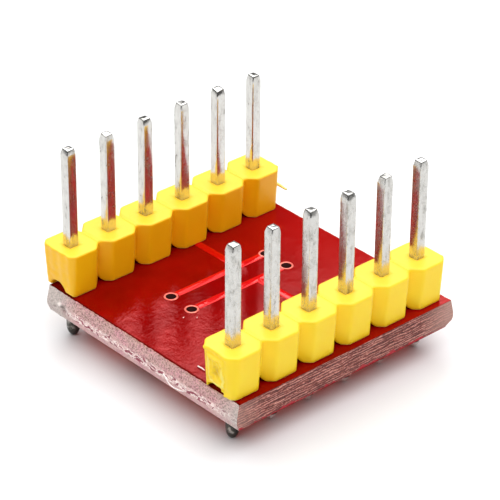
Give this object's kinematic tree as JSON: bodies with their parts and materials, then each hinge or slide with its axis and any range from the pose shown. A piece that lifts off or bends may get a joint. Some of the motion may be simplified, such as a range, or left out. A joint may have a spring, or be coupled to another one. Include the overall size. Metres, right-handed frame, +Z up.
{
  "type": "stepper driver module",
  "caption": "Small square red circuit board with facing rows of upright header pins in yellow housings above, and a driver chip with chip capacitors and resistors below.",
  "frame": {"origin": "bottom centre of the whole module's box, on the plane of the solder-covered pin tails that it stands on", "axes": "+Z up along the header pins, +X along both header rows, +Y from the right row to the left row"},
  "size_m": [0.0154, 0.0154, 0.0112],
  "materials": {
    "board": "glossy red solder mask over pale glass-fibre laminate",
    "housing": "satin moulded yellow plastic",
    "pin": "bright tin plating with fine scuffs",
    "solder": "shiny solder",
    "copper": "copper seen at the hole rings and through the mask",
    "chip": "matte black moulding compound",
    "lead": "matte tin plating",
    "ceramic": "tan ceramic with tinned ends",
    "resistor": "black glaze on white ceramic with tinned ends"
  },
  "bodies": {
    "root": {"circuit_board": "board", "header_housing_left": "housing", "header_pin_left_1": "pin", "solder_joint_left_1": "solder", "header_pin_left_2": "pin", "solder_joint_left_2": "solder", "header_pin_left_3": "pin", "solder_joint_left_3": "solder", "header_pin_left_4": "pin", "solder_joint_left_4": "solder", "header_pin_left_5": "pin", "solder_joint_left_5": "solder", "header_pin_left_6": "pin", "solder_joint_left_6": "solder", "header_housing_right": "housing", "header_pin_right_1": "pin", "solder_joint_right_1": "solder", "header_pin_right_2": "pin", "solder_joint_right_2": "solder", "header_pin_right_3": "pin", "solder_joint_right_3": "solder", "header_pin_right_4": "pin", "solder_joint_right_4": "solder", "header_pin_right_5": "pin", "solder_joint_right_5": "solder", "header_pin_right_6": "pin", "solder_joint_right_6": "solder", "plated_via_1": "copper", "plated_via_2": "copper", "plated_via_3": "copper", "plated_via_4": "copper", "copper_track_left": "copper", "copper_track_right": "copper", "driver_chip_body": "chip", "driver_chip_thermal_pad": "lead", "driver_chip_lead_1": "lead", "driver_chip_lead_2": "lead", "driver_chip_lead_3": "lead", "driver_chip_lead_4": "lead", "driver_chip_lead_5": "lead", "driver_chip_lead_6": "lead", "driver_chip_lead_7": "lead", "driver_chip_lead_8": "lead", "driver_chip_lead_9": "lead", "driver_chip_lead_10": "lead", "driver_chip_lead_11": "lead", "driver_chip_lead_12": "lead", "driver_chip_lead_13": "lead", "driver_chip_lead_14": "lead", "driver_chip_lead_15": "lead", "driver_chip_lead_16": "lead", "supply_capacitor": "ceramic", "charge_pump_capacitor": "ceramic", "regulator_capacitor": "ceramic", "sense_resistor_a": "resistor", "sense_resistor_b": "resistor", "pull_up_resistor": "resistor"}
  },
  "joints": []
}
